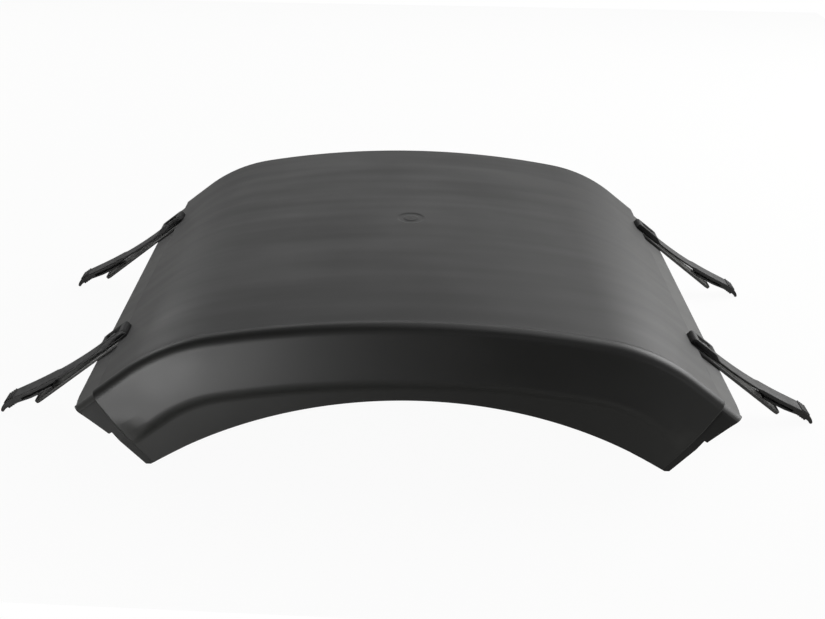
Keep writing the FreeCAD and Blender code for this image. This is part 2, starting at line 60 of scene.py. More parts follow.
class FenderSizes(bpy.types.PropertyGroup):
    """Sizes of the moulding and its straps."""

    crown_radius: bpy.props.FloatProperty(
        name="Crown radius", description="Flat top of the arch", default=1.370, unit="LENGTH")
    crown_angle: bpy.props.FloatProperty(
        name="Crown angle", description="Slope where the top meets the shoulder",
        default=math.radians(10.2), subtype="ANGLE")
    shoulder_radius: bpy.props.FloatProperty(
        name="Shoulder radius", description="Bend of the shoulder", default=0.240, unit="LENGTH")
    side_slope: bpy.props.FloatProperty(
        name="Side slope", description="Slope of the straight side",
        default=SIDE_SLOPE, subtype="ANGLE")
    side_run: bpy.props.FloatProperty(
        name="Side run", description="Straight side, from shoulder to joggle",
        default=0.055, unit="LENGTH")
    strip_length: bpy.props.FloatProperty(
        name="Strip length", description="Stepped end strip", default=0.045, unit="LENGTH")
    joggle: bpy.props.FloatProperty(
        name="Joggle", description="Depth of the step down to the strip",
        default=0.0046, unit="LENGTH")
    deck_height: bpy.props.FloatProperty(
        name="Deck height", description="Top of the deck above the floor",
        default=0.221223, unit="LENGTH")
    deck_width: bpy.props.FloatProperty(
        name="Deck width", description="From the bead's crest to the inner face",
        default=0.640, unit="LENGTH")
    wall: bpy.props.FloatProperty(
        name="Wall", description="Thickness of the moulding", default=0.005, unit="LENGTH")
    arch_radius: bpy.props.FloatProperty(
        name="Arch radius", description="Wheel arch in the outer flange", default=0.578, unit="LENGTH")
    strap_width: bpy.props.FloatProperty(
        name="Strap width", description="Rubber strap across", default=0.027, unit="LENGTH")
    tongue_width: bpy.props.FloatProperty(
        name="Tongue width", description="Plastic tongue across", default=0.038, unit="LENGTH")
    rib_radius: bpy.props.FloatProperty(
        name="Rib radius", description="Cross ribs of the grip", default=0.0016, unit="LENGTH")
    rib_pitch: bpy.props.FloatProperty(
        name="Rib pitch", description="Spacing of the grip's ribs", default=0.004, unit="LENGTH")
    rib_count: bpy.props.IntProperty(
        name="Rib count", description="Ribs on each face of the grip", default=4, min=1)


class FenderFinish(bpy.types.PropertyGroup):
    """Colours of the finishes, as sRGB hex values."""

    polypropylene: bpy.props.StringProperty(
        name="Polypropylene", description="Black moulding", default="#131312")
    # The strip colour is a painted sheen: a lighter grey on the end strips' tops, for the brighter light
    # they catch
    strip: bpy.props.StringProperty(
        name="Strip", description="Tops of the end strips", default="#30302f")
    dust: bpy.props.StringProperty(
        name="Dust", description="Specks of dust on the moulding", default="#454341")
    rubber: bpy.props.StringProperty(
        name="Rubber", description="Strap rubber", default="#141414")
    tongue: bpy.props.StringProperty(
        name="Tongue", description="Smooth dark grey tongue plastic", default="#2c2c2b")
    rivet: bpy.props.StringProperty(
        name="Rivet", description="Black coat on the rivets", default="#141414")
    floor: bpy.props.StringProperty(
        name="Floor", description="Pale studio floor", default="#d0d0cc")


def linear(code):
    """Linear RGBA of an sRGB hex colour."""
    shares = [int(code[place:place + 2], 16) / 255 for place in (1, 3, 5)]
    bent = [share / 12.92 if share <= 0.04045 else ((share + 0.055) / 1.055) ** 2.4 for share in shares]
    return bent + [1.0]


def paler(colour, factor):
    """A linear colour made brighter by a factor."""
    return [share * factor for share in colour[:3]] + [1.0]


def node(tree, kind, links=None, **settings):
    """Adds a node; links gives each input a value, or an output socket to take it from."""
    made = tree.nodes.new(kind)
    for key, value in settings.items():
        setattr(made, key, value)
    for key, value in (links or {}).items():
        if isinstance(value, bpy.types.NodeSocket):
            tree.links.new(value, made.inputs[key])
        else:
            made.inputs[key].default_value = value
    return made


def new_material(name):
    """Material with an empty node tree; gives back both."""
    material = bpy.data.materials.new(name)
    material.use_nodes = True
    tree = material.node_tree
    tree.nodes.clear()
    return material, tree


def polypropylene(finish):
    """
    Carbon-filled polypropylene, injection moulded in a spark-eroded tool.
    The eye sees a black with a soft sheen, a fine even grain, faint drawn-out flow bands across the deck
    and a little pale dust.
    """
    material, tree = new_material("moulded_polypropylene")
    place = node(tree, "ShaderNodeTexCoord").outputs["Object"]
    # Grain of about 1.1 mm, coarser than the real 0.3 mm so that it shows
    grain = node(tree, "ShaderNodeTexNoise",
                 {"Vector": place, "Scale": 1 / (1.1 * MM), "Detail": 3.0, "Roughness": 0.6})
    # Flow bands: 30 mm across the deck and ten times as long, from the filling of the tool
    drawn = node(tree, "ShaderNodeMapping", {"Vector": place, "Scale": (0.1, 1.0, 0.3)})
    bands = node(tree, "ShaderNodeTexNoise",
                 {"Vector": drawn.outputs[0], "Scale": 1 / (30 * MM), "Detail": 2.0, "Roughness": 0.45})
    # Broad cloudiness of handling, 140 mm
    cloud = node(tree, "ShaderNodeTexNoise", {"Vector": place, "Scale": 1 / (140 * MM), "Detail": 3.0})
    worn = node(tree, "ShaderNodeMath",
                {0: bands.outputs["Fac"], 1: cloud.outputs["Fac"]}, operation="ADD")
    rough = node(tree, "ShaderNodeMapRange",
                 {"Value": worn.outputs[0], "From Min": 0.7, "From Max": 1.3,
                  "To Min": 0.46, "To Max": 0.56})
    # Dust: one speck in a 16 mm cell, 0.8 mm across, in one cell of fifty
    cells = node(tree, "ShaderNodeTexVoronoi", {"Vector": place, "Scale": 1 / (16 * MM)})
    chance = node(tree, "ShaderNodeSeparateColor", {"Color": cells.outputs["Color"]})
    picked = node(tree, "ShaderNodeMath",
                  {0: chance.outputs[0], 1: 0.98}, operation="GREATER_THAN")
    close = node(tree, "ShaderNodeMath",
                 {0: cells.outputs["Distance"], 1: 0.04}, operation="LESS_THAN")
    speck = node(tree, "ShaderNodeMath",
                 {0: picked.outputs[0], 1: close.outputs[0]}, operation="MULTIPLY")
    base = linear(finish.polypropylene)
    body = node(tree, "ShaderNodeMix",
                {"Factor": cloud.outputs["Fac"], 6: base, 7: paler(base, 1.18)}, data_type="RGBA")
    # The end strips beyond the joggles: their tops are painted a lighter grey, a painted sheen for the
    # brighter light they catch, and their outer walls are made rougher so that they keep less sheen
    axes = node(tree, "ShaderNodeSeparateXYZ", {0: place})
    out = node(tree, "ShaderNodeMath", {0: axes.outputs[0]}, operation="ABSOLUTE")
    flat = node(tree, "ShaderNodeMath",
                {0: out.outputs[0], 1: math.cos(SIDE_SLOPE)}, operation="MULTIPLY")
    fall = node(tree, "ShaderNodeMath",
                {0: axes.outputs[2], 1: -math.sin(SIDE_SLOPE), 2: flat.outputs[0]},
                operation="MULTIPLY_ADD")
    strip = node(tree, "ShaderNodeMath",
                 {0: fall.outputs[0], 1: STRIP_PLACE}, operation="GREATER_THAN")
    inward = node(tree, "ShaderNodeMath",
                  {0: axes.outputs[1], 1: STRIP_WALL}, operation="GREATER_THAN")
    top = node(tree, "ShaderNodeMath",
               {0: strip.outputs[0], 1: inward.outputs[0]}, operation="MULTIPLY")
    side = node(tree, "ShaderNodeMath",
                {0: strip.outputs[0], 1: top.outputs[0]}, operation="SUBTRACT")
    duller = node(tree, "ShaderNodeMath",
                  {0: side.outputs[0], 1: 0.3, 2: rough.outputs[0]}, operation="MULTIPLY_ADD")
    # Painted sheen: the strip tops take a lighter grey in place of the brighter light they catch
    strip_painted_sheen = node(tree, "ShaderNodeMix",
                  {"Factor": top.outputs[0], 6: body.outputs[2], 7: linear(finish.strip)}, data_type="RGBA")
    dusty = node(tree, "ShaderNodeMix",
                 {"Factor": speck.outputs[0], 6: strip_painted_sheen.outputs[2], 7: linear(finish.dust)},
                 data_type="RGBA")
    bump = node(tree, "ShaderNodeBump",
                {"Height": grain.outputs["Fac"], "Strength": 0.16, "Distance": 0.12 * MM})
    wave = node(tree, "ShaderNodeBump",
                {"Height": bands.outputs["Fac"], "Strength": 0.25, "Distance": 0.25 * MM,
                 "Normal": bump.outputs[0]})
    shader = node(tree, "ShaderNodeBsdfPrincipled",
                  {"Base Color": dusty.outputs[2], "Roughness": duller.outputs[0], "IOR": 1.49,
                   "Normal": wave.outputs[0]})
    node(tree, "ShaderNodeOutputMaterial", {"Surface": shader.outputs[0]})
    return material


def strap_rubber(finish):
    """
    EPDM rubber, compression moulded.
    The eye sees a deep black, matt, with a faint greyish bloom and a slight unevenness.
    """
    material, tree = new_material("strap_rubber")
    place = node(tree, "ShaderNodeTexCoord").outputs["Object"]
    # Skin of about 0.9 mm
    skin = node(tree, "ShaderNodeTexNoise", {"Vector": place, "Scale": 1 / (0.9 * MM), "Detail": 2.0})
    # Bloom in patches of 12 mm
    bloom = node(tree, "ShaderNodeTexNoise", {"Vector": place, "Scale": 1 / (12 * MM), "Detail": 3.0})
    base = linear(finish.rubber)
    body = node(tree, "ShaderNodeMix",
                {"Factor": bloom.outputs["Fac"], 6: base, 7: paler(base, 1.5)}, data_type="RGBA")
    rough = node(tree, "ShaderNodeMapRange",
                 {"Value": bloom.outputs["Fac"], "From Min": 0.3, "From Max": 0.7,
                  "To Min": 0.6, "To Max": 0.7})
    bump = node(tree, "ShaderNodeBump",
                {"Height": skin.outputs["Fac"], "Strength": 0.2, "Distance": 0.1 * MM})
    shader = node(tree, "ShaderNodeBsdfPrincipled",
                  {"Base Color": body.outputs[2], "Roughness": rough.outputs[0], "IOR": 1.52,
                   "Normal": bump.outputs[0]})
    node(tree, "ShaderNodeOutputMaterial", {"Surface": shader.outputs[0]})
    return material


def tongue_plastic(finish):
    """
    Polyamide, injection moulded in a polished tool.
    The eye sees a smooth dark grey that mirrors the studio softly, with fine lengthwise rub marks.
    """
    material, tree = new_material("tongue_polyamide")
    place = node(tree, "ShaderNodeTexCoord").outputs["Object"]
    # Rub marks 6 mm wide, drawn out along the tongue
    drawn = node(tree, "ShaderNodeMapping", {"Vector": place, "Scale": (0.1, 1.0, 0.1)})
    rubs = node(tree, "ShaderNodeTexNoise",
                {"Vector": drawn.outputs[0], "Scale": 1 / (6 * MM), "Detail": 1.0})
    rough = node(tree, "ShaderNodeMapRange",
                 {"Value": rubs.outputs["Fac"], "From Min": 0.3, "From Max": 0.7,
                  "To Min": 0.36, "To Max": 0.44})
    shader = node(tree, "ShaderNodeBsdfPrincipled",
                  {"Base Color": linear(finish.tongue), "Roughness": rough.outputs[0], "IOR": 1.53})
    node(tree, "ShaderNodeOutputMaterial", {"Surface": shader.outputs[0]})
    return material


def coated_steel(finish):
    """
    Steel with a black electrophoretic coat.
    The eye sees a smooth satin black, a little cloudy, with a small bright glint on each dome.
    """
    material, tree = new_material("black_coated_steel")
    place = node(tree, "ShaderNodeTexCoord").outputs["Object"]
    # Clouding in patches of 2 mm
    cloud = node(tree, "ShaderNodeTexNoise", {"Vector": place, "Scale": 1 / (2 * MM), "Detail": 2.0})
    rough = node(tree, "ShaderNodeMapRange",
                 {"Value": cloud.outputs["Fac"], "From Min": 0.3, "From Max": 0.7,
                  "To Min": 0.28, "To Max": 0.4})
    shader = node(tree, "ShaderNodeBsdfPrincipled",
                  {"Base Color": linear(finish.rivet), "Roughness": rough.outputs[0], "IOR": 1.5})
    node(tree, "ShaderNodeOutputMaterial", {"Surface": shader.outputs[0]})
    return material


# Share of plain white in what the camera sees of the floor; the rest keeps the object's shadow
FLOOR_WHITE = 0.95


def studio_floor(finish):
    """
    Matt painted board.
    The eye sees a plain white that keeps a soft shadow under the object.
    """
    material, tree = new_material("matt_floor_board")
    place = node(tree, "ShaderNodeTexCoord").outputs["Object"]
    # Roller texture of 3 mm
    roller = node(tree, "ShaderNodeTexNoise", {"Vector": place, "Scale": 1 / (3 * MM), "Detail": 1.0})
    bump = node(tree, "ShaderNodeBump",
                {"Height": roller.outputs["Fac"], "Strength": 0.1, "Distance": 0.1 * MM})
    paint = node(tree, "ShaderNodeBsdfPrincipled",
                 {"Base Color": linear(finish.floor), "Roughness": 0.8, "Normal": bump.outputs[0]})
    glow = node(tree, "ShaderNodeEmission", {"Color": (1, 1, 1, 1), "Strength": 1.0})
    path = node(tree, "ShaderNodeLightPath")
    share = node(tree, "ShaderNodeMath",
                 {0: path.outputs["Is Camera Ray"], 1: FLOOR_WHITE}, operation="MULTIPLY")
    mixed = node(tree, "ShaderNodeMixShader",
                 {0: share.outputs[0], 1: paint.outputs[0], 2: glow.outputs[0]})
    node(tree, "ShaderNodeOutputMaterial", {"Surface": mixed.outputs[0]})
    return material


class ArchLine:
    """The deck's line in the XZ plane, by the run from the crown, in millimetres."""

    def __init__(self, sizes):
        self.crown = sizes.crown_radius / MM
        self.shoulder = sizes.shoulder_radius / MM
        self.turn = sizes.crown_angle
        self.slope = sizes.side_slope
        self.height = sizes.deck_height / MM
        self.crown_run = self.crown * self.turn
        self.shoulder_run = self.shoulder * (self.slope - self.turn)
        self.half = self.crown_run + self.shoulder_run + sizes.side_run / MM

    def at(self, run):
        """x, z and downward slope at a run; past the shoulder the side is straight."""
        side = np.sign(run)
        run = np.abs(np.asarray(run, float))
        first = np.minimum(run, self.crown_run) / self.crown
        second = np.clip(run - self.crown_run, 0, self.shoulder_run) / self.shoulder
        rest = np.maximum(run - self.crown_run - self.shoulder_run, 0)
        bend = self.turn + second
        x = self.crown * np.sin(first) + self.shoulder * (np.sin(bend) - math.sin(self.turn))
        z = self.height - self.crown * (1 - np.cos(first))
        z = z + self.shoulder * (np.cos(bend) - math.cos(self.turn))
        angle = first + second
        return side * (x + rest * np.cos(angle)), z - rest * np.sin(angle), angle


class Trace:
    """Walks a section as straight runs and bends, and keeps the points on the way."""

    def __init__(self, start, heading):
        self.at = np.array(start, float)
        self.heading = math.radians(heading)
        self.points = [self.at.copy()]

    def ahead(self):
        """Unit vector of the heading."""
        return np.array([math.cos(self.heading), math.sin(self.heading)])

    def line(self, length, stops):
        """Straight run, with a point at each stop, a share of its length."""
        start = self.at.copy()
        for stop in stops:
            self.at = start + self.ahead() * length * stop
            self.points.append(self.at.copy())

    def bend(self, radius, turn, count):
        """Round bend of count steps, to the left where turn is positive."""
        step = math.radians(turn) / count
        side = 1 if turn > 0 else -1
        left = np.array([-self.ahead()[1], self.ahead()[0]]) * side
        centre = self.at + left * radius
        spoke = self.at - centre
        for place in range(1, count + 1):
            swing = step * place
            turned = np.array([spoke[0] * math.cos(swing) - spoke[1] * math.sin(swing),
                               spoke[0] * math.sin(swing) + spoke[1] * math.cos(swing)])
            self.points.append(centre + turned)
        self.at = self.points[-1].copy()
        self.heading += math.radians(turn)


# Details of the section, in millimetres and degrees
BEAD_RISE = 2.5
BEAD_ROUND = 14.0
CREASE_ROUND = 10.0
PANEL_FLARE = 12.0
PANEL_DEPTH = 61.0
PANEL_STEP = 4.0
STEP_ROUND = 18.0
STRIP_FLANGE_SET = 0.8
STRIP_FLANGE_RUN = 4.0
LIP_DEPTH = 38.0
LIP_ROUND = 8.0
CROWN_WALL = 95.0
FOOT_DROP = 194.5
END_SLOPE = 48.7
END_SETBACK = 25.4
CORNER_WIDTH = 56.0
CORNER_BACK = 14.5
CORNER_TOP = 6.0
NOTCH_STEP = 4.5
NOTCH_DROP = 51.7
NOTCH_LIFT = 1.6
LAP = 9.0
JOGGLE_ROUND = 3.0
JOGGLE_FOOT = 1.2
TUCK_START = 2.0
TUCK_RUN = 32.0
TUCK_SOFT = 2.0
TUCK_SET = 0.2
TUCK_REACH = 1.5
RIM_ROUND = 0.9
GATE_INSET = 333.0
GATE_OUTER = 19.0
GATE_INNER = 10.0
GATE_DEPTH = 0.8
GATE_EDGE = 0.9
PIP_HEIGHT = 0.7
PIP_RADIUS = 2.6
# Half width and spacing of the finer grid over the gate mark
GATE_REACH = 22
GATE_GRID = 1.6


class Moulding:
    """The moulding laid out straight: run along the deck, across, and height over the deck."""

    def __init__(self, sizes):
        self.line = ArchLine(sizes)
        self.joggle = sizes.joggle / MM
        self.wall = sizes.wall / MM
        self.width = sizes.deck_width / MM
        self.strip = sizes.strip_length / MM
        self.arch = sizes.arch_radius / MM
        flare = math.radians(PANEL_FLARE)
        panel_top = BEAD_RISE - BEAD_ROUND * (1 - math.sin(flare))
        self.panel_run = (PANEL_DEPTH + panel_top) / math.cos(flare)
        self.panel_edge = -BEAD_ROUND * math.cos(flare) - self.panel_run * math.sin(flare)
        self.flange = self.panel_edge + PANEL_STEP
        overhang = -self.panel_edge + STEP_ROUND * (1 - math.cos(flare))
        self.middle = (self.width - overhang) / 2

    def deck_stops(self, run):
        """Even stops along the deck, with closer ones across the gate mark."""
        start = self.width - LIP_ROUND
        coarse = np.linspace(0, run, 46)
        fine = start - GATE_INSET + np.arange(-GATE_REACH, GATE_REACH + 1, GATE_GRID)
        coarse = coarse[(coarse < fine[0] - 4) | (coarse > fine[-1] + 4)]
        stops = np.sort(np.concatenate([coarse, fine]))
        return stops[stops > 0] / run

    def section(self, stepped, offset):
        """Points (across, height) from the inner lip to the top of the flange."""
        inset = self.joggle if stepped else 0.0
        flare = math.radians(PANEL_FLARE)
        swell = math.degrees(math.acos(1 - BEAD_RISE / (CREASE_ROUND + BEAD_ROUND)))
        lean = math.degrees(math.acos(0.5 * (1 + math.cos(flare) - PANEL_STEP / STEP_ROUND)))
        swell_run = (CREASE_ROUND + BEAD_ROUND) * math.sin(math.radians(swell))
        far = self.width - inset
        deck = far - LIP_ROUND - inset - swell_run
        full = self.width - LIP_ROUND - swell_run
        # The strip's wall runs down until it meets its own flange
        spread = self.flange + STRIP_FLANGE_SET - self.joggle + BEAD_ROUND * math.cos(flare)
        strip = -(spread + STEP_ROUND * (1 - math.cos(flare))) / math.sin(flare)
        trace = Trace((far - offset, -LIP_DEPTH + RIM_ROUND), 90)
        trace.line(LIP_DEPTH - LIP_ROUND - inset - RIM_ROUND, (0.05, 0.4, 0.7, 1.0))
        trace.bend(LIP_ROUND - offset, 90, 8)
        trace.line(deck, self.deck_stops(full))
        trace.bend(CREASE_ROUND + offset, -swell, 5)
        trace.bend(BEAD_ROUND - offset, swell + 90 - PANEL_FLARE, 14)
        top = trace.at[1]
        run = strip if stepped else self.panel_run
        strip_top = top + inset - self.joggle
        notch = (strip_top + NOTCH_DROP - NOTCH_LIFT) / math.cos(flare) / strip
        # Closer stops on both sides of the notch's step keep its edge sharp
        shares = (0.15, 0.3, 0.45, 0.6, 0.75, 0.9, 0.985, 0.998, 1.002, 1.015)
        stops = [notch * share for share in shares] + [1.0]
        trace.line(run, stops)
        if stepped:
            trace.bend(STEP_ROUND - offset, PANEL_FLARE, 6)
            trace.line(STRIP_FLANGE_RUN, [place / 6 for place in range(1, 7)])
        else:
            trace.bend(STEP_ROUND - offset, PANEL_FLARE + lean, 6)
            trace.bend(STEP_ROUND + offset, -lean, 6)
        return np.array(trace.points)

    def lowest(self, run):
        """Height over the deck of the flange's lower edge, at each run."""
        x, z, slope = self.line.at(run)
        x = np.abs(x)
        out, up = np.sin(slope), np.cos(slope)
        hub = self.line.height - CROWN_WALL - self.arch
        foot = (self.line.height - FOOT_DROP - z) / up
        half = x * out + (z - hub) * up
        inside = half ** 2 - (x ** 2 + (z - hub) ** 2 - self.arch ** 2)
        arch = -half + np.sqrt(np.maximum(inside, 0))
        return np.where(inside > 0, np.maximum(arch, foot), foot) + RIM_ROUND

    def end_run(self, across, height):
        """Run past the joggle at which the strip ends, at a place of its section."""
        lean = math.radians(90 - END_SLOPE) - self.line.slope
        drop = (NOTCH_DROP - math.sin(lean) * END_SETBACK) / math.cos(lean)
        back = END_SETBACK + math.tan(lean) * drop
        share = np.clip((-height - CORNER_TOP) / (drop - CORNER_TOP), 0, 1)
        inner = np.clip((across + BEAD_ROUND - self.joggle) / CORNER_WIDTH, 0, 1)
        edge = -CORNER_BACK * (1 - inner) ** 2 - (back - CORNER_BACK) * share
        below = np.maximum(-height - drop, 0)
        edge = edge - np.where(below > 0, NOTCH_STEP + math.tan(lean) * below, 0.0)
        edge = np.where(across < CORNER_WIDTH, edge, 0.0)
        return self.strip + edge - RIM_ROUND

    def skin(self, offset):
        """One face of the wall as a grid of (run, across, height), right half, crown outwards."""
        main = self.section(False, offset)
        stepped = self.section(True, offset)
        end = self.line.half - (LAP if offset else 0.0)
        # Rows along the deck, closer at the gate mark, round the shoulder and before the joggle
        crown = np.linspace(0, self.line.crown_run - 4, 26)
        gate = np.arange(0, GATE_REACH + 0.5, GATE_GRID)
        crown = np.sort(np.concatenate([gate, crown[crown > GATE_REACH + 4]]))
        shoulder = self.line.crown_run + np.linspace(0, self.line.shoulder_run, 36)
        side = np.linspace(self.line.crown_run + self.line.shoulder_run + 4, end - 40, 6)
        near = end - np.array([36, 32, 28, 24, 20, 16, 13, 10.5, 8, 6, 4.8, 3.8])
        runs = np.concatenate([crown, shoulder, side, near])
        # Steps and drops over the joggle: round its upper edge, then into its foot
        swing = np.radians([0, 20, 40, 60, 80])
        fall = [(JOGGLE_ROUND * (math.sin(a) - 1), JOGGLE_ROUND * (1 - math.cos(a))) for a in swing]
        swing = np.radians([10, 30, 50, 70, 90])
        low = self.joggle - JOGGLE_FOOT
        fall += [(JOGGLE_FOOT - JOGGLE_FOOT * math.cos(a), low + JOGGLE_FOOT * math.sin(a)) for a in swing]
        # Shares of the strip's length, and of the flange's depth
        fractions = np.array([0.04, 0.1, 0.2, 0.3, 0.4, 0.5, 0.6, 0.7, 0.8, 0.9, 0.97, 1.0])
        flange = np.array([0.02, 0.08, 0.2, 0.35, 0.5, 0.65, 0.8, 0.92, 0.985, 1.0])
        panel = main[:, 0] < self.flange + TUCK_REACH
        rows = []

        def row(run, weight):
            """One row across the moulding at a run, part of the way from deck to strip."""
            drawn = self.tuck(main, panel, end - run, offset)
            place = drawn * (1 - weight) + stepped * weight
            across, top = place[-1]
            lowest = self.lowest(np.full(len(flange), run))
            tail = np.stack([np.full(len(flange), across), top + flange * (lowest - top)], 1)
            place = np.concatenate([place, tail])
            return np.column_stack([np.full(len(place), run), place])

        for run in runs:
            rows.append(row(run, 0.0))
        for step, drop in fall:
            rows.append(row(end + step, drop / self.joggle))
        last = rows[-1]
        start = last[:, 0]
        # The strip's end depends on the height, and the flange's height on the run, so both settle in turns
        for fraction in fractions:
            grid = last.copy()
            for _ in range(6):
                stop = self.line.half + self.end_run(grid[:, 1], grid[:, 2])
                grid[:, 0] = start + fraction * (stop - start)
                top = grid[-len(flange) - 1, 2]
                lowest = self.lowest(grid[-len(flange):, 0])
                grid[-len(flange):, 2] = top + flange * (lowest - top)
            rows.append(grid)
        grid = np.array(rows)
        away = np.hypot(grid[:, :, 0], grid[:, :, 1] - GATE_INSET)
        inside = np.clip((GATE_OUTER - away) / GATE_EDGE, 0, 1)
        ring = np.clip((away - GATE_INNER) / GATE_EDGE, 0, 1) * inside
        if not offset:
            on_deck = np.abs(grid[:, :, 2]) < 0.01
            grid[:, :, 2] -= GATE_DEPTH * ring * on_deck
            grid[:, :, 2] += PIP_HEIGHT * np.clip(1 - away / PIP_RADIUS, 0, 1)
        return grid

    def tuck(self, place, panel, left, offset):
        """Draws the proud part of the panel in, over the last stretch before the joggle."""
        share = np.clip((left - TUCK_START) / TUCK_RUN, 0, 1)
        share = share * share * (3 - 2 * share)
        if share >= 1:
            return place
        place = place.copy()
        limit = self.flange + offset - TUCK_SET - PANEL_STEP * share
        over = limit - place[:, 0]
        pull = np.maximum(over + TUCK_SOFT, 0) ** 2 / (4 * TUCK_SOFT)
        pull = np.where(over > TUCK_SOFT, over, pull)
        place[:, 0] = place[:, 0] + np.where(panel, pull, 0)
        return place

    def blank(self):
        """Vertices (run, across, height) and faces of the whole closed wall, laid out straight."""
        skins = []
        for offset in (0.0, self.wall):
            half = self.skin(offset)
            other = half[:0:-1].copy()
            other[:, :, 0] *= -1
            skins.append(np.concatenate([other, half]))
        outer, inner = skins
        rows, columns = outer.shape[:2]
        points = [outer.reshape(-1, 3), inner.reshape(-1, 3)]
        faces = []
        base = rows * columns
        for i in range(rows - 1):
            for j in range(columns - 1):
                near = i * columns + j
                far = near + columns
                faces.append((near, near + 1, far + 1, far))
                faces.append((base + far, base + far + 1, base + near + 1, base + near))
        loop = [(i, 0) for i in range(rows)]
        loop += [(rows - 1, j) for j in range(1, columns)]
        loop += [(i, columns - 1) for i in range(rows - 2, -1, -1)]
        loop += [(0, j) for j in range(columns - 2, 0, -1)]
        ring = [i * columns + j for i, j in loop]
        lift = np.zeros((len(loop), 3))
        for place, (i, j) in enumerate(loop):
            lift[place, 0] = 1.0 if i == rows - 1 else -1.0 if i == 0 else 0.0
            lift[place, 2] = -1.0 if j in (0, columns - 1) else 0.0
        lift /= np.linalg.norm(lift, axis=1)[:, None]
        upper = points[0][ring]
        lower = points[1][ring]
        across = lower - upper
        across /= np.linalg.norm(across, axis=1)[:, None]
        rims = [list(ring)]
        total = 2 * base
        # Rounded rim in four rows, two from each face of the wall
        for spot, side, turn in ((upper, 1, 0.35), (upper, 1, 1.0), (lower, -1, 1.0), (lower, -1, 0.35)):
            swing = turn * math.pi / 2
            reach = RIM_ROUND * math.sin(swing)
            depth = RIM_ROUND * (1 - math.cos(swing))
            points.append(spot + lift * reach + across * depth * side)
            rims.append(list(range(total, total + len(ring))))
            total += len(ring)
        rims.append([base + index for index in ring])
        for first, second in zip(rims, rims[1:]):
            for place in range(len(ring)):
                after = (place + 1) % len(ring)
                faces.append((first[after], first[place], second[place], second[after]))
        points = np.concatenate(points)
        points[:, 1] -= self.middle
        return points * MM, faces


def mesh_object(name, points, faces):
    """Mesh object at the origin, shaded smooth."""
    mesh = bpy.data.meshes.new(name)
    mesh.from_pydata([tuple(point) for point in points], [], faces)
    mesh.update()
    mesh.shade_smooth()
    made = bpy.data.objects.new(name, mesh)
    bpy.context.scene.collection.objects.link(made)
    return made


def group_tree(name, inputs):
    """Empty Geometry Nodes tree with named inputs; gives back the tree and its input sockets."""
    tree = bpy.data.node_groups.new(name, "GeometryNodeTree")
    tree.interface.new_socket("Geometry", in_out="INPUT", socket_type="NodeSocketGeometry")
    for label, kind, default in inputs:
        socket = tree.interface.new_socket(label, in_out="INPUT", socket_type=kind)
        if default is not None:
            socket.default_value = default
    tree.interface.new_socket("Geometry", in_out="OUTPUT", socket_type="NodeSocketGeometry")
    return tree, node(tree, "NodeGroupInput").outputs


def arch_tree(half):
    """Lays a straight blank over a curve: run along X, across along Y, height along the curve's normal."""
    tree, given = group_tree("lay_over_arch", [
        ("Arch line", "NodeSocketObject", None),
        ("Half length", "NodeSocketFloat", half),
        ("Finish", "NodeSocketMaterial", None),
    ])
    flat = node(tree, "GeometryNodeInputPosition")
    place = node(tree, "ShaderNodeSeparateXYZ", {0: flat.outputs[0]})
    line = node(tree, "GeometryNodeObjectInfo", {"Object": given["Arch line"]})
    run = node(tree, "ShaderNodeMath",
               {0: place.outputs["X"], 1: given["Half length"]}, operation="ADD")
    spot = node(tree, "GeometryNodeSampleCurve",
                {"Curves": line.outputs["Geometry"], "Length": run.outputs[0]}, mode="LENGTH")
    out = node(tree, "ShaderNodeVectorMath",
               {0: spot.outputs["Tangent"], 1: (0, 1, 0)}, operation="CROSS_PRODUCT")
    unit = node(tree, "ShaderNodeVectorMath", {0: out.outputs[0]}, operation="NORMALIZE")
    rise = node(tree, "ShaderNodeVectorMath",
                {0: unit.outputs[0], "Scale": place.outputs["Z"]}, operation="SCALE")
    over = node(tree, "ShaderNodeVectorMath",
                {0: spot.outputs["Position"], 1: rise.outputs[0]}, operation="ADD")
    side = node(tree, "ShaderNodeCombineXYZ", {"Y": place.outputs["Y"]})
    final = node(tree, "ShaderNodeVectorMath",
                 {0: over.outputs[0], 1: side.outputs[0]}, operation="ADD")
    bent = node(tree, "GeometryNodeSetPosition",
                {"Geometry": given["Geometry"], "Position": final.outputs[0]})
    whole = node(tree, "GeometryNodeRealizeInstances", {"Geometry": bent.outputs[0]})
    painted = node(tree, "GeometryNodeSetMaterial",
                   {"Geometry": whole.outputs[0], "Material": given["Finish"]})
    node(tree, "NodeGroupOutput", {"Geometry": painted.outputs[0]})
    return tree


def seat_tree():
    """Puts a row of one form on each seat point, turned as the point's own attribute says."""
    tree, given = group_tree("rows_on_seats", [
        ("Form", "NodeSocketObject", None),
        ("Row count", "NodeSocketInt", 1),
        ("Row pitch", "NodeSocketFloat", 0.0),
        ("Finish", "NodeSocketMaterial", None),
    ])
    form = node(tree, "GeometryNodeObjectInfo", {"Object": given["Form"]})
    pitch = node(tree, "ShaderNodeCombineXYZ", {"X": given["Row pitch"]})
    line = node(tree, "GeometryNodeMeshLine",
                {"Count": given["Row count"], "Start Location": (0, 0, 0), "Offset": pitch.outputs[0]})
    row = node(tree, "GeometryNodeInstanceOnPoints",
               {"Points": line.outputs[0], "Instance": form.outputs["Geometry"]})
    turn = node(tree, "GeometryNodeInputNamedAttribute", {"Name": "turn"}, data_type="FLOAT_VECTOR")
    angle = node(tree, "FunctionNodeEulerToRotation", {0: turn.outputs[0]})
    rows = node(tree, "GeometryNodeInstanceOnPoints",
                {"Points": given["Geometry"], "Instance": row.outputs[0], "Rotation": angle.outputs[0]})
    whole = node(tree, "GeometryNodeRealizeInstances", {"Geometry": rows.outputs[0]})
    painted = node(tree, "GeometryNodeSetMaterial",
                   {"Geometry": whole.outputs[0], "Material": given["Finish"]})
    node(tree, "NodeGroupOutput", {"Geometry": painted.outputs[0]})
    return tree


